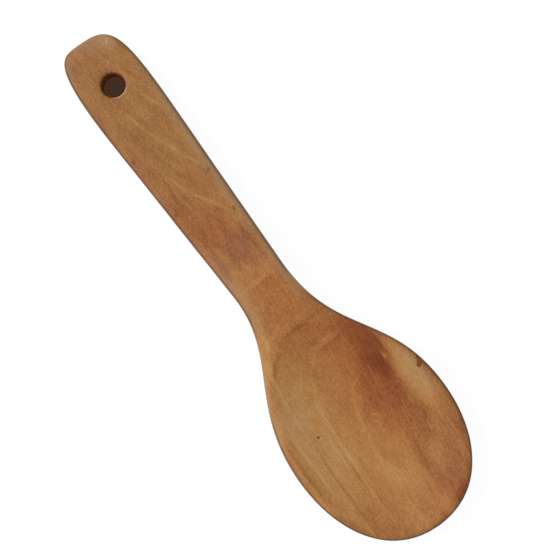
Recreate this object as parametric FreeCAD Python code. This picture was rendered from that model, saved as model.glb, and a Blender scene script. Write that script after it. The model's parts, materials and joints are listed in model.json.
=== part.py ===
import FreeCAD, Part
import math
import os

from FreeCAD import Placement, Rotation, Vector

# Plan of the spoon, seen from above: the handle's end is at -X, the tip of the bowl at +X, and the
# end's furthest point lies a little to the right of the centre line
LENGTH = 210.0
HANDLE_WIDTH = 25.5
HANDLE_TAPER_FROM_END = 35.0
HANDLE_PEAK_OFFSET = 3.0
NECK_WIDTH = 20.9
NECK_FROM_TIP = 107.0
BOWL_WIDTH = 61.0
BOWL_WIDEST_FROM_TIP = 39.5

# Side view: the handle's end and the belly of the bowl rest on the table, and the neck is lifted
HANDLE_THICKNESS = 8.0
NECK_LIFT = 5.0
CRANK_RADIUS = 60.0
TIP_DROP = 3.2
RIM_THICKNESS = 4.8

# Dish hollowed into the bowl
DISH_DEPTH = 5.0
RIM_WIDTH = 2.8

# Finished edges: the upper edge is rounded, the lower edge bevelled, and the brim of the dish eased
TOP_EDGE_RADIUS = 1.8
BACK_EDGE_BEVEL = 1.5
BRIM_RADIUS = 1.0

# Hang hole, drilled square to the handle
HOLE_DIAMETER = 8.5
HOLE_FROM_END = 19.3
HOLE_EDGE_BEVEL = 0.4

# Knots: round stubs of branch wood
RIM_KNOT_DIAMETER = 2.0
RIM_KNOT_FROM_EDGE = 1.9
RIM_KNOT_LENGTH = 5.0
RIM_KNOT_LEAN_DEGREES = 45.0
RIM_KNOT_TURN_DEGREES = 50.0
PIN_KNOT_DIAMETER = 1.0
PIN_KNOT_FROM_TIP = 49.8
PIN_KNOT_FROM_SIDE = 14.5
PIN_KNOT_ROOT = 0.5

# Shares that shape the outline: how far each curve follows its two end tangents
LEFT_END_SHARES = (0.948, 1.067)
RIGHT_END_SHARES = (0.99, 0.476)
LEFT_FLARE_SHARES = (0.49, 0.47)
RIGHT_FLARE_SHARES = (0.40, 0.50)
TIP_SHARES = (0.54, 0.655)
BELLY_SHARES = (0.30, 0.45)

# Shares that shape the dish: where it starts between neck and belly, how its shoulders follow the
# flare on each side, and its level lines from just above the brim down towards the floor
DISH_START_SHARE = 0.31
LEFT_DISH_SHARES = (0.38, 0.12)
RIGHT_DISH_SHARES = (0.46, 0.22)
DISH_LEVEL_SHARES = (1.12, 1.0, 0.88, 0.72, 0.52, 0.28)
DISH_POWER = 2.3

# Place of the rim knot, as a share of the left flare
RIM_KNOT_FLARE_SHARE = 0.87

# An edge is rounded or bevelled no further than these shares of the rim allow
TOP_EDGE_RIM_SHARE = 0.40
BACK_EDGE_RIM_SHARE = 0.35

# One overrun for every cut that passes through a surface
OVERRUN = 5.0

# Signs of the two sides and the two faces, and the turns that tell faces apart
LEFT = 1
RIGHT = -1
TOP = 1
BACK = -1
UPRIGHT_TILT = 0.1
BRIM_TURN = 0.1

# Stations along the spoon, the slope of the handle's sides and the slopes of the two planes
END_X = -LENGTH / 2
TIP_X = LENGTH / 2
HANDLE_X = END_X + HANDLE_TAPER_FROM_END
NECK_X = TIP_X - NECK_FROM_TIP
BELLY_X = TIP_X - BOWL_WIDEST_FROM_TIP
DISH_X = NECK_X + DISH_START_SHARE * (BELLY_X - NECK_X)
TAPER_SLOPE = (NECK_WIDTH - HANDLE_WIDTH) / 2 / (NECK_X - HANDLE_X)
HANDLE_SLOPE = math.atan2(NECK_LIFT, NECK_X - END_X)
RIM_SLOPE = -math.atan2(TIP_DROP, NECK_FROM_TIP)
NECK_TOP = NECK_LIFT + HANDLE_THICKNESS / math.cos(HANDLE_SLOPE)
BLANK_TOP = NECK_TOP + OVERRUN
BLANK_BOTTOM = -OVERRUN


def handle_back(x):
    """Height of the handle's flat back."""
    return (x - END_X) * math.tan(HANDLE_SLOPE)


def handle_top(x):
    """Height of the handle's flat top."""
    return handle_back(x) + HANDLE_THICKNESS / math.cos(HANDLE_SLOPE)


def rim_top(x):
    """Height of the plane that the brim of the bowl lies in."""
    return NECK_TOP + (x - NECK_X) * math.tan(RIM_SLOPE)


def bezier(*poles):
    """Edge along the Bezier curve of these poles."""
    curve = Part.BezierCurve()
    curve.setPoles(list(poles))
    return curve.toShape()


def round_end(wide_x, half_width, end_x, shares, side, slope=0, peak_y=0):
    """Outline that leaves one side at its slope and comes round to the end's furthest point."""
    run = shares[0] * (end_x - wide_x)
    return bezier(
        Vector(wide_x, side * half_width, 0),
        Vector(wide_x + run, side * (half_width + slope * run), 0),
        Vector(end_x, peak_y + side * shares[1] * half_width, 0),
        Vector(end_x, peak_y, 0),
    )


def handle_end(side):
    """Rounded end of the handle, fuller on the right."""
    shares = LEFT_END_SHARES if side == LEFT else RIGHT_END_SHARES
    return round_end(HANDLE_X, HANDLE_WIDTH / 2, END_X, shares, side, TAPER_SLOPE, RIGHT * HANDLE_PEAK_OFFSET)


def taper(side):
    """Straight side of the handle, narrowing to the neck."""
    wide = Vector(HANDLE_X, side * HANDLE_WIDTH / 2, 0)
    narrow = Vector(NECK_X, side * NECK_WIDTH / 2, 0)
    return Part.LineSegment(wide, narrow).toShape()


def flare(side):
    """Outline that leaves the neck along the handle's side and widens to the bowl, fuller on the right."""
    shares = LEFT_FLARE_SHARES if side == LEFT else RIGHT_FLARE_SHARES
    neck_run = shares[0] * (BELLY_X - NECK_X)
    bowl_run = shares[1] * (BELLY_X - NECK_X)
    return bezier(
        Vector(NECK_X, side * NECK_WIDTH / 2, 0),
        Vector(NECK_X + neck_run, side * (NECK_WIDTH / 2 + TAPER_SLOPE * neck_run), 0),
        Vector(BELLY_X - bowl_run, side * BOWL_WIDTH / 2, 0),
        Vector(BELLY_X, side * BOWL_WIDTH / 2, 0),
    )


def closed_wire(edges):
    """One closed wire of edges given in any order."""
    return Part.Wire(Part.__sortEdges__(edges))


def across(profile):
    """Solid of a side view, carried across the whole width of the spoon."""
    run = Vector(0, BOWL_WIDTH + OVERRUN, 0)
    return Part.Face(profile).extrude(run).translated(run * (-1 / 2))


def blank():
    """Board sawn to the outline of the spoon, thicker than the spoon."""
    edges = []
    for side in (LEFT, RIGHT):
        edges.append(handle_end(side))
        edges.append(taper(side))
        edges.append(flare(side))
        edges.append(round_end(BELLY_X, BOWL_WIDTH / 2, TIP_X, TIP_SHARES, side))
    board = Part.Face(closed_wire(edges)).extrude(Vector(0, 0, BLANK_TOP - BLANK_BOTTOM))
    return board.translated(Vector(0, 0, BLANK_BOTTOM))


def waste_above():
    """Wood above the handle and the brim, whose planes meet in the rounded crank of the neck."""
    turn = HANDLE_SLOPE - RIM_SLOPE
    middle = (HANDLE_SLOPE + RIM_SLOPE) / 2
    reach = CRANK_RADIUS * math.tan(turn / 2)
    drop = CRANK_RADIUS / math.cos(turn / 2) - CRANK_RADIUS
    start = Vector(NECK_X - reach * math.cos(HANDLE_SLOPE), 0, NECK_TOP - reach * math.sin(HANDLE_SLOPE))
    crown = Vector(NECK_X + drop * math.sin(middle), 0, NECK_TOP - drop * math.cos(middle))
    stop = Vector(NECK_X + reach * math.cos(RIM_SLOPE), 0, NECK_TOP + reach * math.sin(RIM_SLOPE))
    handle_low = Vector(END_X - OVERRUN, 0, handle_top(END_X - OVERRUN))
    tip_low = Vector(TIP_X + OVERRUN, 0, rim_top(TIP_X + OVERRUN))
    tip_high = Vector(tip_low.x, 0, BLANK_TOP + OVERRUN)
    handle_high = Vector(handle_low.x, 0, BLANK_TOP + OVERRUN)
    return across(Part.Wire([
        Part.LineSegment(handle_low, start).toShape(),
        Part.Arc(start, crown, stop).toShape(),
        Part.LineSegment(stop, tip_low).toShape(),
        Part.LineSegment(tip_low, tip_high).toShape(),
        Part.LineSegment(tip_high, handle_high).toShape(),
        Part.LineSegment(handle_high, handle_low).toShape(),
    ]))


def waste_under_handle():
    """Wood under the flat back of the handle."""
    low = BLANK_BOTTOM - OVERRUN
    corners = [
        Vector(END_X - OVERRUN, 0, handle_back(END_X - OVERRUN)),
        Vector(NECK_X, 0, NECK_LIFT),
        Vector(NECK_X, 0, low),
        Vector(END_X - OVERRUN, 0, low),
    ]
    return across(Part.makePolygon(corners + corners[:1]))


def under_bowl_profile(y):
    """Side view of the wood under the bowl, on a line beside the centre line.

    The back sweeps from the neck down to the belly and up to the tip. Away from the centre line the
    belly rises as a parabola, so that the rim keeps its thickness.
    """
    low = BLANK_BOTTOM - OVERRUN
    end_x = TIP_X + OVERRUN
    belly = (rim_top(BELLY_X) - RIM_THICKNESS) * (y / (BOWL_WIDTH / 2)) ** 2
    tip_rise = (rim_top(TIP_X) - RIM_THICKNESS) * ((end_x - BELLY_X) / BOWL_WIDEST_FROM_TIP) ** 2
    span = BELLY_X - NECK_X
    neck_run = BELLY_SHARES[0] * span
    neck_point = Vector(NECK_X, y, NECK_LIFT)
    belly_point = Vector(BELLY_X, y, belly)
    end_point = Vector(end_x, y, belly + tip_rise)
    end_low = Vector(end_x, y, low)
    neck_low = Vector(NECK_X, y, low)
    return Part.Wire([
        bezier(
            neck_point,
            Vector(NECK_X + neck_run, y, NECK_LIFT + neck_run * math.tan(HANDLE_SLOPE)),
            Vector(BELLY_X - BELLY_SHARES[1] * span, y, belly),
            belly_point,
        ),
        bezier(belly_point, Vector((BELLY_X + end_x) / 2, y, belly), end_point),
        Part.LineSegment(end_point, end_low).toShape(),
        Part.LineSegment(end_low, neck_low).toShape(),
        Part.LineSegment(neck_low, neck_point).toShape(),
    ])


def waste_under_bowl():
    """Wood under the rounded back of the bowl."""
    reach = BOWL_WIDTH / 2 + OVERRUN
    return Part.makeLoft([under_bowl_profile(y) for y in (-reach, 0, reach)], True, False)


def dish_level(share):
    """Level line of the dish: its brim drawn in to a share, and sunk by the curve of the dish."""
    neck_half = NECK_WIDTH / 2
    brim_half = BOWL_WIDTH / 2 - RIM_WIDTH
    brim_tip = BOWL_WIDEST_FROM_TIP - RIM_WIDTH
    edges = []
    for side, (along, shoulder) in ((LEFT, LEFT_DISH_SHARES), (RIGHT, RIGHT_DISH_SHARES)):
        start_shares = (along, (neck_half + shoulder * (brim_half - neck_half)) / brim_half)
        edges.append(round_end(0, share * brim_half, share * (DISH_X - BELLY_X), start_shares, side))
        edges.append(round_end(0, share * brim_half, share * brim_tip, TIP_SHARES, side))
    return closed_wire(edges).translated(Vector(0, 0, -DISH_DEPTH * (1 - share ** DISH_POWER)))


def dish_waste():
    """Wood hollowed out of the bowl, square to the plane of its brim."""
    levels = [dish_level(share) for share in DISH_LEVEL_SHARES]
    dish = Part.makeLoft(levels + [Part.Vertex(0, 0, -DISH_DEPTH)], True, False)
    tilt = Rotation(Vector(0, 1, 0), -math.degrees(RIM_SLOPE))
    dish.Placement = Placement(Vector(BELLY_X, 0, rim_top(BELLY_X)), tilt)
    return dish


def hole_waste():
    """Wood drilled out for the hang hole."""
    x = END_X + HOLE_FROM_END
    up = Vector(-math.sin(HANDLE_SLOPE), 0, math.cos(HANDLE_SLOPE))
    start = Vector(x, 0, handle_back(x)) - up * OVERRUN
    return Part.makeCylinder(HOLE_DIAMETER / 2, HANDLE_THICKNESS + OVERRUN + OVERRUN, start, up)


def face_directions(shape, edge):
    """Outward directions, at the middle of an edge, of the faces that meet there."""
    middle = edge.valueAt((edge.FirstParameter + edge.LastParameter) / 2)
    faces = shape.ancestorsOfType(edge, Part.Face)
    return [face.normalAt(*face.Surface.parameter(middle)) for face in faces]


def outer_edges(shape, face_sign):
    """Edges where the upright wall of the outline meets the top or the back."""
    found = []
    for edge in shape.Edges:
        tilts = sorted((direction.z * face_sign for direction in face_directions(shape, edge)), key=abs)
        if len(tilts) == 2 and abs(tilts[0]) < UPRIGHT_TILT < tilts[1]:
            found.append(edge)
    return found


def brim_edges(shape):
    """Edges where the dish breaks the plane of the brim."""
    found = []
    for edge in shape.Edges:
        directions = face_directions(shape, edge)
        if len(directions) == 2 and min(direction.z for direction in directions) > UPRIGHT_TILT:
            if directions[0].getAngle(directions[1]) > BRIM_TURN:
                found.append(edge)
    return found


def hole_edges(shape):
    """Both rims of the hang hole, the only full circles on the spoon."""
    return [edge for edge in shape.Edges if not edge.Degenerated and edge.Curve.TypeId == "Part::GeomCircle"]


def whole_spoon():
    """Spoon carved from one board, before its knots are told apart from it."""
    body = blank()
    for waste in (waste_above(), waste_under_handle(), waste_under_bowl()):
        body = body.cut(waste)
    top_radius = min(TOP_EDGE_RADIUS, TOP_EDGE_RIM_SHARE * RIM_THICKNESS)
    back_bevel = min(BACK_EDGE_BEVEL, BACK_EDGE_RIM_SHARE * RIM_THICKNESS)
    body = body.makeFillet(top_radius, outer_edges(body, TOP))
    body = body.makeChamfer(back_bevel, outer_edges(body, BACK))
    body = body.cut(dish_waste())
    body = body.makeFillet(BRIM_RADIUS, brim_edges(body))
    body = body.cut(hole_waste())
    return body.makeChamfer(HOLE_EDGE_BEVEL, hole_edges(body))


def branch_stub(face_point, outward, diameter, length):
    """Round stub that reaches a length into the wood from face_point, and runs on past the face."""
    return Part.makeCylinder(diameter / 2, length + OVERRUN, face_point - outward * length, outward)


def rim_knot_stub():
    """Branch that comes out on the rim's rounded edge, from under the dish and back along the rim."""
    edge = flare(LEFT)
    outline = edge.valueAt(RIM_KNOT_FLARE_SHARE)
    along = edge.tangentAt(RIM_KNOT_FLARE_SHARE)
    inward = Vector(along.y, -along.x, 0)
    place = outline + inward * RIM_KNOT_FROM_EDGE
    lean = math.radians(RIM_KNOT_LEAN_DEGREES)
    turn = math.radians(RIM_KNOT_TURN_DEGREES)
    root_way = along * math.cos(turn) + inward * math.sin(turn)
    outward = Vector(0, 0, math.cos(lean)) - root_way * math.sin(lean)
    return branch_stub(place + Vector(0, 0, rim_top(place.x)), outward, RIM_KNOT_DIAMETER, RIM_KNOT_LENGTH)


def pin_knot_stub():
    """Thin branch that comes out upright in the floor of the dish."""
    x = TIP_X - PIN_KNOT_FROM_TIP
    place = Vector(x, PIN_KNOT_FROM_SIDE - BOWL_WIDTH / 2, rim_top(x))
    return branch_stub(place, Vector(0, 0, 1), PIN_KNOT_DIAMETER, DISH_DEPTH + PIN_KNOT_ROOT)


def pieces():
    """Every piece by name: each knot sits in the socket that its own stub cuts."""
    body = whole_spoon()
    found = {}
    for name, stub in (("rim_knot", rim_knot_stub()), ("pin_knot", pin_knot_stub())):
        found[name] = body.common(stub).Solids[0]
        body = body.cut(stub)
    found["carved_spoon"] = body.Solids[0]
    return found


os.makedirs("parts", exist_ok=True)
for node, shape in pieces().items():
    shape.exportStep(f"parts/{node}.step")
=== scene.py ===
import json
import logging
import math
from dataclasses import dataclass
from enum import Enum
from typing import Any, Optional, Sequence, Union

import bmesh
import bpy
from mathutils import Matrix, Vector


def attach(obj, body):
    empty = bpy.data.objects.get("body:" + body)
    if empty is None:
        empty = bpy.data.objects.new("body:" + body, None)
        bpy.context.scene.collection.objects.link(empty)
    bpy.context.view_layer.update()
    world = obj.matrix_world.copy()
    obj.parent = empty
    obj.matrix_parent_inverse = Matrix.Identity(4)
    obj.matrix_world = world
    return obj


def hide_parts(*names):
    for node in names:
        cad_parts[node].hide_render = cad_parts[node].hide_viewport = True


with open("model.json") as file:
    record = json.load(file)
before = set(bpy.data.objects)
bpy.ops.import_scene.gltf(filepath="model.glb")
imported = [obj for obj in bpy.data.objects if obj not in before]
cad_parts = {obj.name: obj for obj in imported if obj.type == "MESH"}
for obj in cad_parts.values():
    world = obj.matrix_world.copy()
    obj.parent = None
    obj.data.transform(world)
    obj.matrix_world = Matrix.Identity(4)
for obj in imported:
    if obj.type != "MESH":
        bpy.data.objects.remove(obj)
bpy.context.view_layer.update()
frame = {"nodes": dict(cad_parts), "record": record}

LOG = logging.getLogger("wooden_spoon")
MM = 0.001
HANG_HOLE = next(mount for mount in frame["record"]["mounts"] if mount["name"] == "hang_hole")

# The curve by which a screen turns a paint's number into light.
FULL_PAINT = 255
SCREEN_TOE, SCREEN_TOE_SLOPE = 0.04045, 12.92
SCREEN_LIFT, SCREEN_POWER = 0.055, 2.4

NOISE_MEAN = 0.5
RAMP_MIDDLE = 0.5
WOOD_GLOSS = 0.25
RIGHT_THROUGH = 1.0e6
WELD = 1.0e-6
SOFTENING = 0.5

Number = Union["Wire", float]
Pair = tuple[float, float]
Triple = tuple[float, float, float]
Colour = tuple[float, float, float, float]


class Slot(Enum):
    """Material slots of the record."""

    WOOD = "wood"
    KNOT = "knot"


class Node(Enum):
    """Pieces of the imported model."""

    SPOON = "carved_spoon"
    RIM_KNOT = "rim_knot"
    PIN_KNOT = "pin_knot"


class Mark(Enum):
    """Values that a sanded mesh carries for its material."""

    EDGE = "edge"
    WALL = "wall"


class Blend(Enum):
    """Ways to lay one colour over another."""

    COVER = "MIX"
    STAIN = "MULTIPLY"


@dataclass(frozen=True)
class Paint:
    """A colour as the eye reads it on a screen, from 0 to 255."""

    red: int
    green: int
    blue: int

    @property
    def linear(self) -> Colour:
        """Gives the colour as light, for a shader socket.

        Returns:
            Red, green, blue and full cover.
        """
        shares = [value / FULL_PAINT for value in (self.red, self.green, self.blue)]
        light = [
            share / SCREEN_TOE_SLOPE
            if share <= SCREEN_TOE
            else ((share + SCREEN_LIFT) / (1 + SCREEN_LIFT)) ** SCREEN_POWER
            for share in shares
        ]
        return (light[0], light[1], light[2], 1.0)


@dataclass(frozen=True)
class Grain:
    """Noise that is drawn out along the board.

    The pace is the noise's turns per millimetre along, across and through the board.
    """

    pace: Triple
    detail: float
    rough: float = 0.5


@dataclass(frozen=True)
class Wire:
    """One output socket, with the arithmetic that shader maths needs."""

    bench: "Bench"
    socket: Optional[bpy.types.NodeSocket]

    def __add__(self, other: Number) -> "Wire":
        """Sum."""
        return self.bench.math("ADD", self, other)

    def __radd__(self, other: float) -> "Wire":
        """Sum, with the number first."""
        return self.bench.math("ADD", other, self)

    def __sub__(self, other: Number) -> "Wire":
        """Difference."""
        return self.bench.math("SUBTRACT", self, other)

    def __rsub__(self, other: float) -> "Wire":
        """Difference, with the number first."""
        return self.bench.math("SUBTRACT", other, self)

    def __mul__(self, other: Number) -> "Wire":
        """Product."""
        return self.bench.math("MULTIPLY", self, other)

    def __rmul__(self, other: float) -> "Wire":
        """Product, with the number first."""
        return self.bench.math("MULTIPLY", other, self)

    def __truediv__(self, other: Number) -> "Wire":
        """Quotient."""
        return self.bench.math("DIVIDE", self, other)

    def __rtruediv__(self, other: float) -> "Wire":
        """Quotient, with the number first."""
        return self.bench.math("DIVIDE", other, self)


class Bench:
    """Builds one node tree, of a material, a world or a geometry modifier."""

    def __init__(self, tree: bpy.types.NodeTree) -> None:
        """Takes the tree and clears it."""
        self.tree = tree
        self.tree.nodes.clear()

    def node(
        self,
        kind: str,
        settings: Optional[dict[str, Any]] = None,
        sockets: Optional[dict[Union[int, str], Any]] = None,
        output: Union[int, str] = 0,
    ) -> Wire:
        """Adds one node.

        Args:
            kind: The node's type.
            settings: Its properties, set before its sockets; stops are a colour ramp's.
            sockets: Values or wires for its inputs, by identifier, name or number.
            output: The output that is handed on.

        Returns:
            The wire from that output.
        """
        made = self.tree.nodes.new(kind)
        for name, value in (settings or {}).items():
            if name == "stops":
                self._set_stops(made.color_ramp, value)
            else:
                setattr(made, name, value)
        for key, value in (sockets or {}).items():
            self._plug(self._find(made.inputs, key), value)
        if not made.outputs:
            return Wire(self, None)
        return Wire(self, self._find(made.outputs, output))

    @staticmethod
    def _find(sockets: Any, key: Union[int, str]) -> bpy.types.NodeSocket:
        """Looks a socket up.

        Args:
            sockets: A node's inputs or outputs.
            key: The socket's number, identifier or name.

        Returns:
            The socket.
        """
        if isinstance(key, int):
            return sockets[key]
        return next((s for s in sockets if s.identifier == key), None) or sockets[key]

    @staticmethod
    def _set_stops(ramp: bpy.types.ColorRamp, stops: Sequence[tuple[float, Paint]]) -> None:
        """Sets a colour ramp's stops.

        Args:
            ramp: The ramp.
            stops: Places from 0 to 1 in order, with their paints.
        """
        while len(ramp.elements) < len(stops):
            ramp.elements.new(1.0)
        for element, (place, paint) in zip(ramp.elements, stops):
            element.position = place
            element.color = paint.linear

    def _plug(self, socket: bpy.types.NodeSocket, value: Any) -> None:
        """Links a wire to a socket, or sets the socket's own value.

        Args:
            socket: An input.
            value: A wire or a plain value.
        """
        if isinstance(value, Wire):
            self.tree.links.new(value.socket, socket)
        else:
            socket.default_value = value

    def math(self, operation: str, left: Number, right: Number) -> Wire:
        """Adds one Math node for two values."""
        return self.node("ShaderNodeMath", {"operation": operation}, {0: left, 1: right})

    def root(self, value: Wire) -> Wire:
        """Returns a value's square root."""
        return self.math("SQRT", value, 0.0)

    def vector(self, operation: str, left: Any, right: Any) -> Wire:
        """Adds one Vector Math node that gives a vector."""
        return self.node("ShaderNodeVectorMath", {"operation": operation}, {0: left, 1: right})

    def length(self, vector: Wire) -> Wire:
        """Returns a vector's length."""
        return self.node("ShaderNodeVectorMath", {"operation": "LENGTH"}, {0: vector}, "Value")

    def combine(self, x: Number, y: Number, z: Number) -> Wire:
        """Puts three values together as a vector."""
        return self.node("ShaderNodeCombineXYZ", None, {0: x, 1: y, 2: z})

    def split(self, vector: Wire) -> tuple[Wire, Wire, Wire]:
        """Takes a vector apart.

        Args:
            vector: The vector.

        Returns:
            Its three values.
        """
        first = self.node("ShaderNodeSeparateXYZ", None, {0: vector})
        outputs = first.socket.node.outputs
        return first, Wire(self, outputs[1]), Wire(self, outputs[2])

    def ease(self, value: Number, span: Pair) -> Wire:
        """Goes smoothly from 0 at a span's start to 1 at its stop, and no further.

        Args:
            value: The value that runs along the span.
            span: The start and the stop, either of which may be the greater.

        Returns:
            The share of the way.
        """
        settings = {"interpolation_type": "SMOOTHSTEP", "clamp": False}
        low, high = sorted(span)
        first, last = (0.0, 1.0) if span[0] < span[1] else (1.0, 0.0)
        sockets = {0: value, 1: low, 2: high, 3: first, 4: last}
        return self.node("ShaderNodeMapRange", settings, sockets)

    def noise(self, place: Wire, grain: Grain) -> Wire:
        """Adds the noise of a grain.

        Args:
            place: Where it is read, in millimetres.
            grain: Its pace and detail.

        Returns:
            A value from 0 to 1, around a half.
        """
        paced = self.vector("MULTIPLY", place, grain.pace)
        sockets = {"Vector": paced, "Scale": 1.0, "Detail": grain.detail, "Roughness": grain.rough}
        return self.node("ShaderNodeTexNoise", None, sockets, "Fac")

    def blend(self, share: Number, first: Any, second: Any, way: Blend = Blend.COVER) -> Wire:
        """Mixes two colours.

        Args:
            share: How much of the second colour shows.
            first: A wire or a colour.
            second: A wire or a colour.
            way: How the second colour is laid over the first.

        Returns:
            The mixed colour.
        """
        settings = {"data_type": "RGBA", "blend_type": way.value, "clamp_factor": True}
        sockets = {"Factor_Float": share, "A_Color": first, "B_Color": second}
        return self.node("ShaderNodeMix", settings, sockets, "Result_Color")


class Finish:
    """A material with its bench, and the parts that every finish here shares."""

    def __init__(self, name: str) -> None:
        """Makes an empty material.

        Args:
            name: The material's name.
        """
        self.material = bpy.data.materials.new(name)
        self.material.use_nodes = True
        self.bench = Bench(self.material.node_tree)

    def place(self) -> Wire:
        """Returns the place on the piece, in millimetres."""
        coordinates = self.bench.node("ShaderNodeTexCoord", None, None, "Object")
        return self.bench.vector("MULTIPLY", coordinates, (1 / MM, 1 / MM, 1 / MM))

    def mark(self, mark: Mark) -> Wire:
        """Returns a value that the mesh carries."""
        return self.bench.node("ShaderNodeAttribute", {"attribute_name": mark.value}, None, "Fac")

    def from_hole(self, place: Wire) -> Wire:
        """Measures how far a place is from the middle of the hang hole, seen from above.

        Args:
            place: The place, in millimetres.

        Returns:
            The distance, in millimetres.
        """
        moved = self.bench.vector("SUBTRACT", place, (HANG_HOLE["pos_m"][0] / MM, 0.0, 0.0))
        flat = self.bench.vector("MULTIPLY", moved, (1.0, 1.0, 0.0))
        return self.bench.length(flat)

    def close(self, surface: Wire) -> bpy.types.Material:
        """Ends the material in this surface and returns it."""
        self.bench.node("ShaderNodeOutputMaterial", None, {"Surface": surface})
        return self.material

    def close_wood(
        self, colour: Wire, rough: Wire, relief: Wire, strength: float, depth: float
    ) -> bpy.types.Material:
        """Ends the material as satin wood.

        Args:
            colour: The wood's colour.
            rough: Its roughness.
            relief: The height of its fibres, as a share of the depth.
            strength: How much of the relief shows.
            depth: The relief's depth, in metres.

        Returns:
            The finished material.
        """
        sockets = {"Strength": strength, "Distance": depth, "Height": relief}
        bump = self.bench.node("ShaderNodeBump", None, sockets, "Normal")
        sockets = {
            "Base Color": colour,
            "Roughness": rough,
            "Normal": bump,
            "Specular IOR Level": WOOD_GLOSS,
        }
        return self.close(self.bench.node("ShaderNodeBsdfPrincipled", None, sockets))


@dataclass(frozen=True)
class Zone:
    """A patch of the board that differs from the wood around it.

    The place is along and across the spoon and the reach is half the patch's length and width, in
    millimetres. The turn is in degrees from the spoon's length. The tone is how much it differs: in
    the wood's figure a tone below 0 is darker. The core is the share of the reach over which the
    patch has its full tone.
    """

    place: Pair
    reach: Pair
    turn: float
    tone: float
    core: float = 0.05


@dataclass(frozen=True)
class Board:
    """The wood at one place, as the wires that the steps of its finish share.

    Lengths are in millimetres. The drift is how far the grain wanders to the side. The height
    counts on upright walls alone. The fray is how far a zone's rim shifts along the streaks of
    the grain.
    """

    bench: Bench
    place: Wire
    x: Wire
    y: Wire
    height: Wire
    drift: Wire
    across: Wire
    upright: Wire
    edge: Wire
    lines: Wire
    fibre: Wire
    flecks: Wire
    mottle: Wire
    grit: Wire
    fray: Wire

    def total(self, zones: Sequence[Zone]) -> Wire:
        """Adds up the tones of zones.

        Args:
            zones: The zones, at least one.

        Returns:
            The sum of their tones at the place.
        """
        tones = self._tone(zones[0])
        for zone in zones[1:]:
            tones = tones + self._tone(zone)
        return tones

    def _tone(self, zone: Zone) -> Wire:
        """Reads a zone, whose rim frays along the grain.

        Args:
            zone: The zone.

        Returns:
            Its tone at the place, which is 0 outside.
        """
        moved = self.bench.vector("SUBTRACT", self.place, (*zone.place, 0.0))
        sockets = {"Vector": moved, "Angle": -math.radians(zone.turn)}
        turned = self.bench.node("ShaderNodeVectorRotate", {"rotation_type": "Z_AXIS"}, sockets)
        local = self.bench.vector("DIVIDE", turned, (*zone.reach, RIGHT_THROUGH))
        return self.bench.ease(self.bench.length(local) + self.fray, (1.0, zone.core)) * zone.tone


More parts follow.
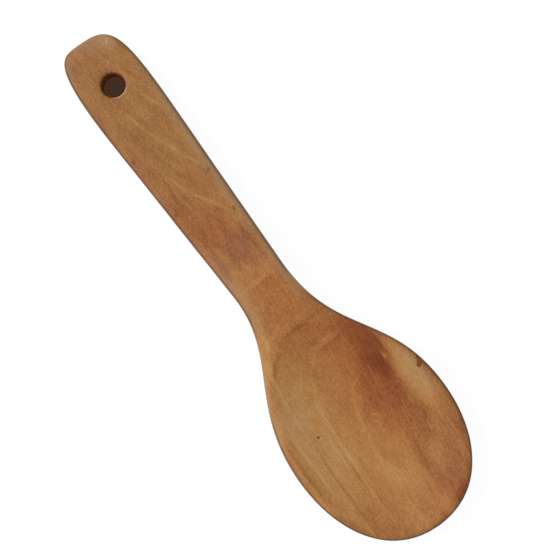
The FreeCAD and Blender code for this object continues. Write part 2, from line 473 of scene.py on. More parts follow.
@dataclass(frozen=True)
class Rings:
    """Growth rings of the board.

    Along the handle they are long arches with their crown at the neck. In the bowl they bend round
    the start of the dish and then run along it. Each ring grows paler across its width and ends in
    a fine pale line. Lengths are in millimetres. Rises and falls are shares of a ring's width.
    """

    crown_x: float = -2.0
    crown_length: float = 40.0
    crown_slope: float = 0.18
    crown_side: Pair = (-26.0, 6.0)
    handle_run: Pair = (4.0, -20.0)
    handle_steeper: float = 1.6
    handle_start: float = -6.4
    handle_pitch: float = 8.5
    bowl_run: Pair = (2.0, 18.0)
    bowl_start: Pair = (9.4, -21.5)
    bowl_pitch: Pair = (13.5, 8.1)
    bowl_bend: float = 1.1
    bowl_drift: float = 0.05
    left_start: float = 30.0
    left_middle: float = 60.0
    left_pitch: float = 5.0
    left_slope: float = 0.15
    left_bend: float = 0.2
    uneven: Grain = Grain((0.012, 1.0, 1.0), 2.0)
    uneven_share: float = 0.4
    swell_rise: Pair = (0.0, 0.86)
    swell_fall: Pair = (0.93, 1.0)
    swell_middle: float = 0.45
    swell_tone: float = 0.18
    line_rise: Pair = (0.84, 0.93)
    line_fall: Pair = (1.0, 0.94)
    line_tone: float = 0.20
    shown: Grain = Grain((0.03, 1.7, 1.0), 1.0)
    shown_span: Pair = (0.36, 0.56)
    shown_least: float = 0.25
    clear_run: Pair = (12.0, 28.0)
    clear_least: float = 0.38
    heart_run: Pair = (20.0, 30.0)
    heart_side: Pair = (4.0, 12.0)
    heart_cover: float = 0.85

    def arch(self, bench: Bench, x: Wire, y: Wire) -> Wire:
        """Measures how far the rings have dropped from their crown, steeper along the handle.

        Args:
            bench: The material's bench.
            x: The place along the spoon.
            y: The place across it.

        Returns:
            The drop.
        """
        run = x - self.crown_x
        reach = bench.root(run * run + self.crown_length ** 2) - self.crown_length
        slope = (bench.ease(run, self.handle_run) * self.handle_steeper + 1.0) * self.crown_slope
        return reach * slope * bench.ease(y, self.crown_side)

    def tone(self, board: Board) -> Wire:
        """Gives the tone of the rings, which come and go, and are faint in the heartwood.

        Args:
            board: The wood at the place.

        Returns:
            The tone, around 0.
        """
        bench = board.bench
        number = self._number(board)
        spot = bench.combine(board.x, number, 0.0)
        uneven = bench.noise(spot, self.uneven) - NOISE_MEAN
        turn = bench.math("FRACT", number + uneven * self.uneven_share, 0.0)
        swell = bench.ease(turn, self.swell_rise) - bench.ease(turn, self.swell_fall)
        line = bench.ease(turn, self.line_rise) * bench.ease(turn, self.line_fall)
        tone = (swell - self.swell_middle) * self.swell_tone + line * self.line_tone
        shown = bench.ease(bench.noise(spot, self.shown), self.shown_span)
        shown = shown * (1 - self.shown_least) + self.shown_least
        clear = bench.ease(board.x, self.clear_run) * (1 - self.clear_least) + self.clear_least
        heart = bench.ease(board.x, self.heart_run) * bench.ease(board.y, self.heart_side)
        return tone * shown * clear * (1.0 - heart * self.heart_cover)

    def _number(self, board: Board) -> Wire:
        """Numbers the rings.

        Args:
            board: The wood at the place.

        Returns:
            The number of the ring there, with the share of its width that is passed.
        """
        bench, x, y, height = board.bench, board.x, board.y, board.height
        handle = (board.across + self.handle_start) / self.handle_pitch
        along = (x - self.bowl_start[0]) / self.bowl_pitch[0]
        right = (y + height - self.bowl_start[1]) / self.bowl_pitch[1]
        slant = y - height + (x - self.left_middle) * self.left_slope
        left = (self.left_start - slant) / self.left_pitch
        bowl = self._nearer(bench, along, right, self.bowl_bend)
        bowl = self._nearer(bench, bowl, left, self.left_bend) + board.drift * self.bowl_drift
        share = bench.ease(x, self.bowl_run)
        return handle * (1.0 - share) + bowl * share

    @staticmethod
    def _nearer(bench: Bench, first: Wire, second: Wire, bend: float) -> Wire:
        """Returns the lesser of two values, with a rounded corner where they cross."""
        half = (first - second) * 0.5
        return (first + second) * 0.5 - bench.root(half * half + bend)


@dataclass(frozen=True)
class EdgeShading:
    """Painted shade on the rounded edges' walls, and painted highlight on edges facing the lamp.

    Rises and falls count how upright the wood stands, from 0 for level to 1 for a wall. Bulges
    count how far it stands out as an edge. Runs and sides are places in millimetres.
    """

    # Painted shade on the edge walls: some all round, more on the side away from the lamp and at
    # the tip.
    edge_shade: Paint = Paint(92, 67, 54)
    edge_shade_rise: Pair = (0.08, 0.30)
    edge_shade_fall: Pair = (0.35, 0.75)
    edge_shade_fall_share: float = 0.55
    edge_shade_least: float = 0.36
    edge_shade_far_side: Pair = (8.0, -8.0)
    edge_shade_far_share: float = 0.32
    edge_shade_tip_run: Pair = (40.0, 80.0)
    edge_shade_tip_share: float = 0.15
    shade_line_rise: Pair = (0.16, 0.38)
    # Painted highlight on the edges that face the lamp and on the lit bevel of the hang hole.
    edge_highlight: Paint = Paint(200, 170, 128)
    edge_highlight_rise: Pair = (0.06, 0.25)
    edge_highlight_bulge: Pair = (0.10, 0.60)
    edge_highlight_share: float = 0.6
    edge_highlight_places: tuple[Zone, ...] = (
        Zone((27, -17), (22, 10), -36, 0.50, 0.5),
        Zone((-103, 3), (6, 11), 0, 0.45, 0.5),
        Zone((8, 12.5), (9, 4), 12, 1.00, 0.4),
        Zone((-81.6, 0.4), (3.2, 4.6), 0, 1.60, 0.5),
    )
    # Places where the edge walls take a darker line of painted shade.
    shade_line_places: tuple[Zone, ...] = (
        Zone((66, 29.5), (15, 5), -5, 0.50, 0.4),
        Zone((100, 9), (9, 13), -20, 0.40, 0.4),
        Zone((100, -13), (8, 9), 30, 0.40, 0.4),
    )

    def lay(self, board: Board, colour: Wire) -> Wire:
        """Lays the painted edge shade and the painted edge highlight over the wood's colour.

        Args:
            board: The wood at the place.
            colour: The wood's colour without them.

        Returns:
            The colour with the painted edge shade and highlight.
        """
        bench, upright = board.bench, board.upright
        # Painted highlight on the edges that catch the lamp.
        edge_highlight = board.total(self.edge_highlight_places) * bench.ease(board.edge, self.edge_highlight_bulge)
        edge_highlight = edge_highlight * bench.ease(upright, self.edge_highlight_rise)
        # Painted shade on the walls, heavier on the side away from the lamp and at the tip.
        fallen = bench.ease(upright, self.edge_shade_fall) * self.edge_shade_fall_share
        edge_shaded = bench.ease(upright, self.edge_shade_rise) * (1.0 - fallen)
        right = bench.ease(board.y, self.edge_shade_far_side) * self.edge_shade_far_share
        tip = bench.ease(board.x, self.edge_shade_tip_run) * self.edge_shade_tip_share
        edge_shaded = edge_shaded * (right + tip + self.edge_shade_least)
        shade_line = board.total(self.shade_line_places) * bench.ease(upright, self.shade_line_rise)
        colour = bench.blend(edge_shaded * (1.0 - edge_highlight) + shade_line, colour, self.edge_shade.linear)
        return bench.blend(edge_highlight * self.edge_highlight_share, colour, self.edge_highlight.linear)


@dataclass(frozen=True)
class SpoonWood:
    """Oiled fruit wood, cut so that its rings show as long arches with their crown at the neck.

    Lengths are in millimetres, apart from the relief's depth, which is in metres.
    """

    deepest: Paint = Paint(88, 36, 14)
    heart: Paint = Paint(128, 68, 29)
    middle: Paint = Paint(157, 103, 54)
    pale: Paint = Paint(179, 127, 70)
    palest: Paint = Paint(188, 150, 107)
    handled: Paint = Paint(238, 243, 236)
    handled_run: Pair = (-12.0, -60.0)
    blush: Paint = Paint(255, 233, 222)
    dry: Paint = Paint(154, 138, 112)
    # Painted shade on the wall of the hang hole, where little light reaches.
    hole_shade: Paint = Paint(122, 66, 36)
    hole_radius: float = HANG_HOLE["dims"]["r_mm"]
    hole_shade_reach: Pair = (0.20, 0.02)
    hole_shade_share: float = 0.92
    rings: Rings = Rings()
    # Painted shade and painted highlight along the edges.
    edge_light: EdgeShading = EdgeShading()

    wander: Grain = Grain((0.035, 0.09, 0.09), 3.0)
    lines: Grain = Grain((0.025, 0.8, 0.8), 4.0, 0.65)
    fibre: Grain = Grain((0.20, 2.0, 2.0), 4.0, 0.75)
    flecks: Grain = Grain((0.7, 6.0, 6.0), 1.0)
    mottle: Grain = Grain((0.10, 0.16, 0.16), 6.0, 0.7)
    grit: Grain = Grain((1.1, 1.7, 1.7), 3.0, 0.7)
    drift_reach: float = 5.0
    drift_rings: float = 0.6
    drift_fibre: float = 0.3
    drift_fray: float = 0.06
    lines_fray: float = 0.385
    arch_fibre: float = 0.5
    grain_tilt: float = 0.35
    wall_rise: Pair = (0.10, 0.50)
    wall_middle: float = 10.0

    lines_tone: float = 0.46
    fibre_tone: float = 0.76
    grit_tone: float = 1.50
    mottle_tone: float = 1.00
    calm_span: Pair = (-0.10, -0.60)
    calm_share: float = 0.6
    fleck_span: Pair = (0.64, 0.76)
    fleck_share: float = 0.30
    relief_fibre: float = 0.6
    relief_lines: float = 0.4
    relief_fleck: float = 0.8
    relief_strength: float = 0.22
    relief_depth: float = 0.12 * MM
    rough_mean: float = 0.54
    rough_fibre: float = 0.16
    rough_mottle: float = 0.20

    figure: tuple[Zone, ...] = (
        # The handle's end and the wood round the hole.
        Zone((-99.7, 7.1), (2.2, 0.5), -40, 0.50, 0.3),
        Zone((-98.5, -10), (7, 5), 20, -0.26, 0.1),
        Zone((-100.5, 8.5), (5, 4), -40, 0.22, 0.2),
        Zone((-80, -12.0), (22, 1.8), 0, -0.24, 0.3),
        Zone((-88, 5.5), (9.0, 1.0), 3, 0.12, 0.1),
        Zone((-85.9, 0), (8.5, 8.5), 0, -0.13, 0.55),
        # Pale lines, shades and flecks along the handle.
        Zone((-74.5, 7.4), (9.0, 0.9), 20, 0.34, 0.1),
        Zone((-69, -0.9), (10.0, 0.9), 15, 0.30, 0.1),
        Zone((-64.5, -7.6), (7.0, 0.8), 8, 0.22),
        Zone((-62, -3), (16, 6), 18, -0.15, 0.2),
        Zone((-57.5, 3.0), (10.5, 0.9), 19, 0.38, 0.1),
        Zone((-55, 1.0), (7, 1.5), 17, -0.18, 0.2),
        Zone((-48.5, 6.7), (5.5, 0.9), 30, 0.32, 0.1),
        Zone((-44.5, -2.6), (6.0, 0.9), 17, 0.14),
        Zone((-40, -3.2), (7, 1.3), 10, -0.20, 0.3),
        Zone((-43.5, -6.0), (7.0, 1.0), -5, -0.28, 0.2),
        Zone((-42.5, 9.2), (1.2, 1.0), 0, -0.60, 0.2),
        Zone((-60, -10.3), (2.0, 1.0), 0, -0.40, 0.2),
        Zone((-58, 9.6), (16, 3.0), -2, 0.14, 0.3),
        Zone((-33.5, 2.8), (10.0, 1.0), 29, 0.34, 0.1),
        Zone((-26, -3), (25, 8.5), 28, -0.18, 0.45),
        Zone((-26.5, 8.2), (1.4, 0.6), -8, -0.75, 0.3),
        Zone((-20, -10), (8, 2.0), 3, -0.14, 0.3),
        # The neck, with the bands that cross it, and the flare.
        Zone((2, -8), (12, 5.5), -6, 0.22),
        Zone((-12, 2.5), (12, 9), 0, -0.19, 0.15),
        Zone((-13, -7.2), (11, 2.0), 0, -0.22, 0.3),
        Zone((-3, 0.5), (6, 6), 0, 0.12, 0.2),
        # Painted highlight along the crease across the neck, and painted shade on the slope just
        # past it.
        Zone((-1.3, 0), (1.3, 9), 2, 0.20, 0.1),
        Zone((0.4, 1), (1.0, 7), 2, -0.12, 0.1),
        Zone((17.4, 0.5), (1.4, 9), 2, 0.07, 0.3),
        # Painted shade where the floor of the dish starts to sink.
        Zone((19.9, 2.5), (1.2, 12), 2, -0.20, 0.3),
        Zone((14, -10), (12, 1.8), -16, 0.26, 0.3),
        # Painted shade line just inside the rim of the flare.
        Zone((27.7, -14.6), (9.5, 1.9), -46, -0.34, 0.1),
        Zone((29.2, 7), (1.6, 10), 3, 0.20, 0.3),
        Zone((31.0, 7.5), (0.9, 6), 3, -0.14, 0.3),
        # The streak of heartwood.
        Zone((36, 16.5), (23, 8), 11, -0.32, 0.25),
        Zone((35, 18), (10, 5), 24, -0.20, 0.2),
        Zone((42.1, 20.7), (7.5, 1.1), 4, -0.24, 0.2),
        Zone((45.5, 19.5), (2.4, 0.5), 5, 0.44, 0.3),
        Zone((44, 17), (13, 5), 0, -0.11, 0.2),
        Zone((48.6, 16.4), (6.5, 3.2), -8, -0.16, 0.1),
        Zone((57, 8.4), (19, 5), -2, -0.26, 0.1),
        Zone((45.5, 12.5), (8, 4), -8, -0.20, 0.2),
        Zone((55, 15.5), (20, 5.5), -6, -0.28, 0.2),
        Zone((71, 17), (12, 4.2), -12, -0.26, 0.2),
        # Sapwood by the rim, the wood round the rim knot, and the left side of the dish.
        Zone((55.5, 23.6), (17.5, 5.0), 1, 0.52, 0.38),
        Zone((53.3, 28.2), (1.7, 0.8), -20, -0.80, 0.3),
        Zone((80, 24), (32, 8), -28, -0.13, 0.3),
        Zone((83.5, 14.6), (8, 3.4), -14, 0.22, 0.3),
        Zone((82.5, 8.7), (12, 2.6), -9, -0.42, 0.2),
        # The pale right side of the dish, with the lines along it.
        # Paler wood, lifted further as painted light where the lamp leaves this side of the dish in
        # shade.
        Zone((54, -18), (54, 22), -3, 0.56, 0.2),
        Zone((78, -1), (34, 13), -5, 0.40, 0.1),
        Zone((69.5, -19.7), (29, 1.0), 0, -0.32, 0.3),
        Zone((66, -17.9), (20, 0.8), 0, 0.12, 0.2),
        Zone((61, -23.3), (20, 0.9), -2, 0.22, 0.3),
        Zone((52, -24.7), (9, 0.6), -1, -0.16, 0.3),
        Zone((60, -26.9), (18, 0.9), -1, -0.30, 0.3),
        Zone((57, -29.4), (20, 2.8), 1, -0.32, 0.4),
        Zone((35, -20.3), (10, 3.4), -33, -0.28, 0.3),
        Zone((87.5, -24.2), (11, 2.2), 26, -0.42, 0.2),
        Zone((85.3, -11.4), (1.3, 1.0), 0, -0.34, 0.3),
        # The tip.
        Zone((101, 14), (8, 6), -52, -0.36),
        Zone((105, 0), (2.4, 15), 0, -0.34, 0.2),
        Zone((95, 13), (11, 9), -40, -0.12, 0.3),
        # Arches and small marks in the floor of the dish.
        Zone((40, 0), (10, 6), -20, 0.12, 0.2),
        Zone((44, -16), (12, 4), -10, 0.14, 0.2),
        Zone((92, 8), (10, 5), -20, -0.12, 0.2),
        Zone((33.4, -2.2), (4.6, 0.9), -49, 0.22, 0.2),
        Zone((40.5, -6.8), (6.5, 0.9), -22, 0.18, 0.2),
        Zone((55, 2.0), (9, 2.2), -26, 0.26, 0.2),
        Zone((66, -3.6), (12, 4.5), -6, -0.22, 0.1),
        Zone((73.5, -1.0), (5, 1.8), -6, -0.24, 0.2),
        Zone((77, 0.8), (7, 1.0), 8, -0.08, 0.2),
        Zone((75, -3.3), (11, 0.8), -6, 0.13, 0.2),
        Zone((73, -10.5), (13, 1.1), -1, 0.15, 0.2),
        Zone((70, -12.7), (16, 1.0), -1, -0.20, 0.2),
        Zone((60.5, 4.6), (2.4, 0.4), 62, 0.45),
        Zone((63.0, 3.4), (1.8, 0.35), 40, 0.40),
    )
    blushes: tuple[Zone, ...] = (
        Zone((52, 9), (38, 14), -4, 0.80, 0.3),
        Zone((12, 2), (24, 15), 0, 0.35, 0.3),
        Zone((-28, -4), (25, 8), 26, 0.36, 0.3),
        Zone((-52, -9), (24, 4.5), 4, 0.40, 0.3),
        Zone((98, 10), (16, 12), -50, 0.50, 0.2),
    )
    dry_places: tuple[Zone, ...] = (
        Zone((-46, 12.2), (80, 5.2), -1.8, 0.38, 0.15),
        Zone((-106, 4), (9, 15), 0, 0.38, 0.05),
        Zone((-100, 8.5), (7, 6), 0, 0.22, 0.1),
        Zone((-99, -9.5), (8, 5), 20, 0.15, 0.1),
        Zone((-14, 2.5), (11, 7), 0, 0.11, 0.05),
        Zone((0, 10.5), (14, 4.5), 0, 0.24, 0.05),
        Zone((9, -9.5), (9, 4), -10, 0.18, 0.1),
        Zone((45, -17), (17, 7), -10, 0.08, 0.1),
        Zone((-6, -9.5), (20, 6.5), 0, 0.22, 0.05),
        Zone((42, -25), (13, 4), -18, 0.20, 0.1),
        Zone((57, 25), (16, 6), 2, 0.22, 0.1),
    )

    def build(self) -> bpy.types.Material:
        """Makes the material.

        Returns:
            The finished material.
        """
        finish = Finish("spoon_wood")
        board = self._board(finish)
        bench = finish.bench
        fleck = bench.ease(board.flecks, self.fleck_span) * self.fleck_share
        colour = self._colour(board, fleck)
        # Painted shade on the wall of the hang hole.
        outer, inner = (self.hole_radius + reach for reach in self.hole_shade_reach)
        hole_shaded = bench.ease(finish.from_hole(board.place), (outer, inner)) * self.hole_shade_share
        colour = bench.blend(hole_shaded, colour, self.hole_shade.linear)
        relief = board.fibre * self.relief_fibre + board.lines * self.relief_lines
        relief = relief - fleck * self.relief_fleck
        rough = self.rough_mean + (board.fibre - NOISE_MEAN) * self.rough_fibre
        rough = rough + (board.mottle - NOISE_MEAN) * self.rough_mottle
        return finish.close_wood(colour, rough, relief, self.relief_strength, self.relief_depth)

    def _board(self, finish: Finish) -> Board:
        """Reads the wood at a place.

        Args:
            finish: The material that is being made.

        Returns:
            The wires that the steps of the finish share.
        """
        bench = finish.bench
        place = finish.place()
        x, y, z = bench.split(place)
        drift = (bench.noise(place, self.wander) - NOISE_MEAN) * self.drift_reach
        arch = self.rings.arch(bench, x, y)
        upright = finish.mark(Mark.WALL)
        height = (z - self.wall_middle) * bench.ease(upright, self.wall_rise)
        across = y + height * self.grain_tilt + drift * self.drift_rings + arch
        lines = bench.noise(bench.combine(x, across, height), self.lines)
        fibre_way = bench.combine(x, y + arch * self.arch_fibre + drift * self.drift_fibre, z)
        return Board(
            bench=bench,
            place=place,
            x=x,
            y=y,
            height=height,
            drift=drift,
            across=across,
            upright=upright,
            edge=finish.mark(Mark.EDGE),
            lines=lines,
            fibre=bench.noise(fibre_way, self.fibre),
            flecks=bench.noise(fibre_way, self.flecks),
            mottle=bench.noise(place, self.mottle),
            grit=bench.noise(place, self.grit),
            fray=drift * self.drift_fray + (lines - NOISE_MEAN) * self.lines_fray,
        )

    def _tone(self, board: Board) -> Wire:
        """Adds up the wood's figure, whose fine grain is calmer where the wood is dark.

        Args:
            board: The wood at the place.

        Returns:
            The tone, from about -1 for the deepest to 1 for the palest wood.
        """
        patches = board.total(self.figure)
        calm = 1.0 - board.bench.ease(patches, self.calm_span) * self.calm_share
        fine = (board.lines - NOISE_MEAN) * self.lines_tone
        fine = fine + (board.fibre - NOISE_MEAN) * self.fibre_tone
        fine = fine + (board.grit - NOISE_MEAN) * self.grit_tone
        mottle = (board.mottle - NOISE_MEAN) * self.mottle_tone
        return patches + self.rings.tone(board) + mottle + fine * calm

    def _colour(self, board: Board, fleck: Wire) -> Wire:
        """Colours the wood, with what years of use left on it and painted edge shade and highlight.

        Args:
            board: The wood at the place.
            fleck: How much a dark fleck of the grain shows there.

        Returns:
            The colour.
        """
        bench = board.bench
        paints = (self.deepest, self.heart, self.middle, self.pale, self.palest)
        stops = [(step / (len(paints) - 1), paint) for step, paint in enumerate(paints)]
        step = self._tone(board) * RAMP_MIDDLE + RAMP_MIDDLE
        colour = bench.node("ShaderNodeValToRGB", {"stops": stops}, {0: step}, "Color")
        handled = bench.ease(board.x, self.handled_run)
        colour = bench.blend(handled, colour, self.handled.linear, Blend.STAIN)
        colour = bench.blend(board.total(self.blushes), colour, self.blush.linear, Blend.STAIN)
        colour = bench.blend(board.total(self.dry_places), colour, self.dry.linear)
        colour = bench.blend(fleck, colour, self.heart.linear)
        # Lays painted shade on the edge walls and painted highlight on the lit edges.
        return self.edge_light.lay(board, colour)


@dataclass(frozen=True)
class KnotWood:
    """Hard dark wood of a branch, with a speckled grain. The relief's depth is in metres."""

    core: Paint = Paint(100, 48, 14)
    rim: Paint = Paint(142, 80, 28)
    rim_span: Pair = (0.30, 0.70)
    grain: Grain = Grain((1.2, 2.4, 2.4), 4.0, 0.6)
    specks: Grain = Grain((6.0, 6.0, 6.0), 2.0)
    specks_share: float = 0.3
    relief_strength: float = 0.3
    relief_depth: float = 0.1 * MM
    rough_least: float = 0.46
    rough_grain: float = 0.2

    def build(self) -> bpy.types.Material:
        """Makes the material.

        Returns:
            The finished material.
        """
        finish = Finish("knot_wood")
        bench = finish.bench
        place = finish.place()
        grain = bench.noise(place, self.grain)
        specks = bench.noise(place, self.specks)
        mixed = grain * (1 - self.specks_share) + specks * self.specks_share
        share = bench.ease(mixed, self.rim_span)
        colour = bench.blend(share, self.core.linear, self.rim.linear)
        rough = self.rough_least + grain * self.rough_grain
        return finish.close_wood(colour, rough, grain, self.relief_strength, self.relief_depth)


@dataclass
class HandFinish:
    """Geometry Nodes tree that gives a carved piece the slight unevenness of a hand-sanded one.

    Sizes are in metres, and the furrows' pace is in turns per metre along, across and through.
    """

    ripple_height: float = 0.16 * MM
    ripple_length: float = 14.0 * MM
    ripple_detail: float = 1.0
    furrow_height: float = 0.02 * MM
    furrow_pace: Triple = (90.0, 1400.0, 1400.0)
    furrow_detail: float = 2.0
    swell: float = 0.0
    edge_depth: float = 0.16 * MM
    edge_rounds: int = 14
    seed: float = 3.0

    def apply(self, piece: bpy.types.Object, material: bpy.types.Material) -> None:
        """Runs the tree on a piece and keeps the result as its plain mesh.

        Args:
            piece: The piece to finish, at the origin.
            material: The material that the result carries.
        """
        tree = bpy.data.node_groups.new("hand_finish", "GeometryNodeTree")
        sizes = {
            "Ripple Height": self.ripple_height,
            "Ripple Length": self.ripple_length,
            "Furrow Height": self.furrow_height,
            "Swell": self.swell,
            "Edge Depth": self.edge_depth,
            "Seed": self.seed,
        }
        names = self._inputs(tree, list(sizes))
        self._fill(Bench(tree))
        modifier = piece.modifiers.new("hand_finish", "NODES")
        modifier.node_group = tree
        for name, value in {**sizes, "Material": material}.items():
            modifier[names[name]] = value
        bake(piece)

    @staticmethod
    def _inputs(tree: bpy.types.NodeTree, sizes: Sequence[str]) -> dict[str, str]:
        """Args:
            tree: The tree.
            sizes: The names of its sizes.

        Returns:
            The identifier of each named input.
        """
        kinds = {"Geometry": "NodeSocketGeometry"}
        kinds.update({name: "NodeSocketFloat" for name in sizes})
        kinds["Material"] = "NodeSocketMaterial"
        add = tree.interface.new_socket
        add("Geometry", in_out="OUTPUT", socket_type="NodeSocketGeometry")
        return {
            name: add(name, in_out="INPUT", socket_type=kind).identifier
            for name, kind in kinds.items()
        }

    def _fill(self, bench: Bench) -> None:
        """Builds the tree: ripples, furrows along the grain, and values for edges and walls.

        Args:
            bench: The tree's bench.
        """
        outside = bench.node("NodeGroupInput")
        given = {s.name: Wire(bench, s) for s in outside.socket.node.outputs if s.name}
        position = bench.node("GeometryNodeInputPosition")
        normal = bench.node("GeometryNodeInputNormal")

        waves = bench.vector("DIVIDE", position, bench.combine(*[given["Ripple Length"]] * 3))
        ripple = self._swing(bench, waves, given["Seed"], self.ripple_detail)
        paced = bench.vector("MULTIPLY", position, self.furrow_pace)
        furrow = self._swing(bench, paced, given["Seed"], self.furrow_detail)
        height = ripple * given["Ripple Height"] + furrow * given["Furrow Height"] + given["Swell"]
        sockets = {0: normal, "Scale": height}
        offset = bench.node("ShaderNodeVectorMath", {"operation": "SCALE"}, sockets)
        sockets = {"Geometry": given["Geometry"], "Offset": offset}
        shape = bench.node("GeometryNodeSetPosition", None, sockets)

        sockets = {"Value": position, "Iterations": self.edge_rounds}
        middle = bench.node("GeometryNodeBlurAttribute", {"data_type": "FLOAT_VECTOR"}, sockets)
        sockets = {0: bench.vector("SUBTRACT", position, middle), 1: normal}
        bulge = bench.node("ShaderNodeVectorMath", {"operation": "DOT_PRODUCT"}, sockets, "Value")
        shape = self._keep(bench, shape, Mark.EDGE, bulge / given["Edge Depth"])
        upright = 1.0 - bench.math("ABSOLUTE", bench.split(normal)[2], 0.0)
        shape = self._keep(bench, shape, Mark.WALL, upright)

        sockets = {"Geometry": shape, "Shade Smooth": True}
        shape = bench.node("GeometryNodeSetShadeSmooth", None, sockets)
        shape = bench.node("GeometryNodeRealizeInstances", None, {"Geometry": shape})
        sockets = {"Geometry": shape, "Material": given["Material"]}
        shape = bench.node("GeometryNodeSetMaterial", None, sockets)
        bench.node("NodeGroupOutput", None, {0: shape})

    @staticmethod
    def _swing(bench: Bench, place: Wire, seed: Wire, detail: float) -> Wire:
        """Adds seeded noise.

        Args:
            bench: The tree's bench.
            place: Where it is read, in turns.
            seed: The seed.
            detail: How fine it is.

        Returns:
            A value that swings about 0.
        """
        settings = {"noise_dimensions": "4D"}
        sockets = {"Vector": place, "W": seed, "Scale": 1.0, "Detail": detail}
        return bench.node("ShaderNodeTexNoise", settings, sockets, "Fac") - NOISE_MEAN

    @staticmethod
    def _keep(bench: Bench, shape: Wire, mark: Mark, value: Wire) -> Wire:
        """Stores a value on the points of a mesh.

        Args:
            bench: The tree's bench.
            shape: The mesh.
            mark: The value's name.
            value: The value.

        Returns:
            The mesh with the value.
        """
        settings = {"data_type": "FLOAT", "domain": "POINT"}
        sockets = {"Geometry": shape, "Name": mark.value, "Value": value}
        return bench.node("GeometryNodeStoreNamedAttribute", settings, sockets)


def bake(piece: bpy.types.Object) -> None:
    """Turns a piece's modifiers into its plain mesh and removes them.

    Args:
        piece: A mesh object at the origin.
    """
    graph = bpy.context.evaluated_depsgraph_get()
    graph.update()
    mesh = bpy.data.meshes.new_from_object(piece.evaluated_get(graph), depsgraph=graph)
    piece.modifiers.clear()
    old, piece.data = piece.data, mesh
    bpy.data.meshes.remove(old)


def joined_copy(name: str, nodes: Sequence[Node]) -> bpy.types.Object:
    """Copies the meshes of nodes into one object, each merged to a closed shell.

    Args:
        name: The new object's name.
        nodes: The nodes to copy.

    Returns:
        The new object.
    """
    shape = bmesh.new()
    for node in nodes:
        shape.from_mesh(frame["nodes"][node.value].data)
    bmesh.ops.remove_doubles(shape, verts=shape.verts, dist=WELD)
    mesh = bpy.data.meshes.new(name)
    shape.to_mesh(mesh)
    shape.free()
    piece = bpy.data.objects.new(name, mesh)
    bpy.context.scene.collection.objects.link(piece)
    return piece


def remesh(piece: bpy.types.Object, grain: float, rounds: int) -> None:
    """Gives a piece an even mesh and rounds its edges a little.

    Args:
        piece: The piece, of closed shells.
        grain: Edge length of the new mesh, in metres.
        rounds: Rounds of smoothing.
    """
    even = piece.modifiers.new("even", "REMESH")
    even.mode = "VOXEL"
    even.voxel_size = grain
    even.use_smooth_shade = True
    soft = piece.modifiers.new("soft", "SMOOTH")
    soft.factor = SOFTENING
    soft.iterations = rounds
    bake(piece)


@dataclass
class SpoonBody:
    """The carved board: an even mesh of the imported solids, softened and sanded by hand.

    Sizes are in metres.
    """

    grain: float = 0.46 * MM
    rounds: int = 10
    swell: float = -0.02 * MM

    def build(self) -> bpy.types.Object:
        """Makes the spoon's body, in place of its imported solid.

        Returns:
            The piece.
        """
        piece = joined_copy("spoon_body", (Node.SPOON, Node.RIM_KNOT, Node.PIN_KNOT))
        remesh(piece, self.grain, self.rounds)
        HandFinish(swell=self.swell).apply(piece, SpoonWood().build())
        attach(piece, "root")
        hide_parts(Node.SPOON.value)
        return piece


@dataclass
class Knots:
    """The two branch stubs, which stand a hair proud of the sanded wood.

    Sizes are in metres.
    """

    grain: float = 0.14 * MM
    rounds: int = 3
    swell: float = 0.04 * MM
    ripple_height: float = 0.06 * MM
    ripple_length: float = 0.9 * MM

    def build(self) -> list[bpy.types.Object]:
        """Returns the knots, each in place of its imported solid."""
        material = KnotWood().build()
        return [self._knot(node, material) for node in (Node.RIM_KNOT, Node.PIN_KNOT)]

    def _knot(self, node: Node, material: bpy.types.Material) -> bpy.types.Object:
        """Makes one knot.

        Args:
            node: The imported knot.
            material: The material that it gets.

        Returns:
            The piece.
        """
        piece = joined_copy(f"{node.value}_face", (node,))
        remesh(piece, self.grain, self.rounds)
        finish = HandFinish(self.ripple_height, self.ripple_length, swell=self.swell)
        finish.apply(piece, material)
        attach(piece, "root")
        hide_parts(node.value)
        return piece


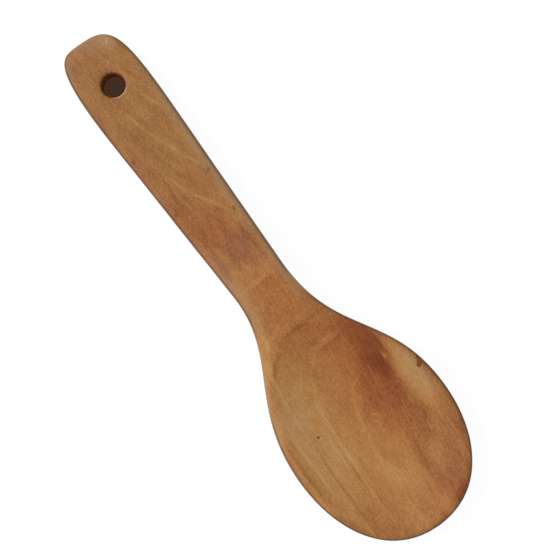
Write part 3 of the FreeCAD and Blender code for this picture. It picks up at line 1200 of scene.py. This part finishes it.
@dataclass
class Studio:
    """Camera straight above a white table, one broad lamp at the handle's side, and an even sky.

    A dark sheet lies under the hang hole as a painted shadow. Sizes are in metres, the camera's
    own in millimetres, and the shadow sheet's grain and fade in millimetres.
    """

    lens: float = 85.0
    sensor: float = 36.0
    frame_width: float = 194.5 * MM
    aim: Triple = (3.1 * MM, 6.1 * MM, 10.0 * MM)
    spoon_turn: float = 53.35
    key_place: Triple = (-0.46, -0.44, 0.76)
    key_size: float = 0.50
    key_power: float = 7.2
    sky: float = 0.46
    table_size: float = 4.0
    table_grey: float = 0.90
    table_bounce: float = 0.22
    table_glow: float = 0.92
    glow_strength: float = 1.03
    hole_shadow_radius: float = 6.5 * MM
    hole_shadow_lift: float = 0.05 * MM
    hole_shadow_corners: int = 36
    hole_shadow_middle: Paint = Paint(62, 47, 39)
    hole_shadow_rim: Paint = Paint(71, 44, 24)
    hole_shadow_grain: Grain = Grain((0.7, 0.7, 0.7), 2.0)
    hole_shadow_blotch: float = 5.0
    hole_shadow_fade: Pair = (3.5, 7.0)

    def build(self) -> None:
        """Sets the camera, the lamp, the sky, the table and the painted shadow under the hole."""
        bpy.context.scene.view_settings.view_transform = "Standard"
        self._camera()
        self._key()
        self._sky()
        self._table()
        self._hole_shadow()

    def _camera(self) -> None:
        """Looks straight down, turned so that the bowl is at the lower right."""
        data = bpy.data.cameras.new("camera")
        data.lens = self.lens
        data.sensor_width = self.sensor
        camera = bpy.data.objects.new("camera", data)
        distance = self.frame_width * self.lens / self.sensor
        camera.location = Vector(self.aim) + Vector((0.0, 0.0, distance))
        camera.rotation_euler = (0.0, 0.0, math.radians(self.spoon_turn))
        bpy.context.scene.collection.objects.link(camera)
        bpy.context.scene.camera = camera

    def _key(self) -> None:
        """Hangs the broad lamp."""
        data = bpy.data.lights.new("key", "AREA")
        data.shape = "DISK"
        data.size = self.key_size
        data.energy = self.key_power
        lamp = bpy.data.objects.new("key", data)
        lamp.location = self.key_place
        way = Vector(self.aim) - Vector(self.key_place)
        lamp.rotation_euler = way.to_track_quat("-Z", "Y").to_euler()
        bpy.context.scene.collection.objects.link(lamp)

    @staticmethod
    def _seen(bench: Bench) -> Wire:
        """Tells what the camera sees, straight or in a gloss or a glass.

        Args:
            bench: The bench of a material or a world.

        Returns:
            1 for what it sees, and else 0.
        """
        path = bench.node("ShaderNodeLightPath", None, None, "Is Camera Ray")
        outputs = path.socket.node.outputs
        gloss = Wire(bench, outputs["Is Glossy Ray"])
        through = Wire(bench, outputs["Is Transmission Ray"])
        return bench.math("MAXIMUM", bench.math("MAXIMUM", path, gloss), through)

    @staticmethod
    def _grey(light: float) -> Colour:
        """Returns a grey of this light."""
        return (light, light, light, 1.0)

    def _sky(self) -> None:
        """Fills the room with even light, and shows it white."""
        world = bpy.data.worlds.new("sky")
        world.use_nodes = True
        bpy.context.scene.world = world
        bench = Bench(world.node_tree)
        strength = self._seen(bench) * (1.0 - self.sky) + self.sky
        sockets = {"Color": self._grey(1.0), "Strength": strength}
        glow = bench.node("ShaderNodeBackground", None, sockets)
        bench.node("ShaderNodeOutputWorld", None, {"Surface": glow})

    def _table(self) -> None:
        """Lays the table, which shows white with a soft shadow and throws little light back."""
        finish = Finish("table_white")
        bench = finish.bench
        white = bench.node("ShaderNodeBsdfDiffuse", None, {"Color": self._grey(self.table_grey)})
        glow = bench.node("ShaderNodeEmission", None, {"Strength": self.glow_strength})
        shown = bench.node("ShaderNodeMixShader", None, {0: self.table_glow, 1: white, 2: glow})
        dull = bench.node("ShaderNodeBsdfDiffuse", None, {"Color": self._grey(self.table_bounce)})
        sockets = {0: self._seen(bench), 1: dull, 2: shown}
        mixed = bench.node("ShaderNodeMixShader", None, sockets)
        half = self.table_size / 2
        corners = [(-half, -half, 0.0), (half, -half, 0.0), (half, half, 0.0), (-half, half, 0.0)]
        self._sheet("table", corners, finish.close(mixed))

    def _hole_shadow(self) -> None:
        """Lays the painted shadow under the hang hole: a round dark sheet that glows, a little
        blotchy.
        """
        finish = Finish("mat_dark")
        bench = finish.bench
        place = finish.place()
        blotch = bench.noise(place, self.hole_shadow_grain) * self.hole_shadow_blotch + finish.from_hole(place)
        share = bench.ease(blotch, self.hole_shadow_fade)
        colour = bench.blend(share, self.hole_shadow_middle.linear, self.hole_shadow_rim.linear)
        # Painted shadow: the sheet glows its own dark colour, so the hang hole shows dark.
        shade = bench.node("ShaderNodeEmission", None, {"Color": colour, "Strength": 1.0})
        hole_x = HANG_HOLE["pos_m"][0]
        turns = [math.tau * step / self.hole_shadow_corners for step in range(self.hole_shadow_corners)]
        corners = [
            (
                hole_x + self.hole_shadow_radius * math.cos(turn),
                self.hole_shadow_radius * math.sin(turn),
                self.hole_shadow_lift,
            )
            for turn in turns
        ]
        self._sheet("mat", corners, finish.close(shade))

    @staticmethod
    def _sheet(name: str, corners: Sequence[Triple], material: bpy.types.Material) -> None:
        """Lays one flat face as part of the stage.

        Args:
            name: The sheet's name.
            corners: Its corners in turn.
            material: Its material.
        """
        mesh = bpy.data.meshes.new(name)
        mesh.from_pydata(corners, [], [tuple(range(len(corners)))])
        mesh.materials.append(material)
        sheet = bpy.data.objects.new(name, mesh)
        bpy.context.scene.collection.objects.link(sheet)


def main() -> None:
    """Builds the spoon and its stage, and logs the face count of each piece."""
    logging.basicConfig(level=logging.INFO, format="%(name)s: %(message)s")
    Studio().build()
    body = SpoonBody().build()
    LOG.info("%s: %d faces", body.name, len(body.data.polygons))
    for knot in Knots().build():
        LOG.info("%s: %d faces", knot.name, len(knot.data.polygons))


if __name__ == "__main__":
    main()
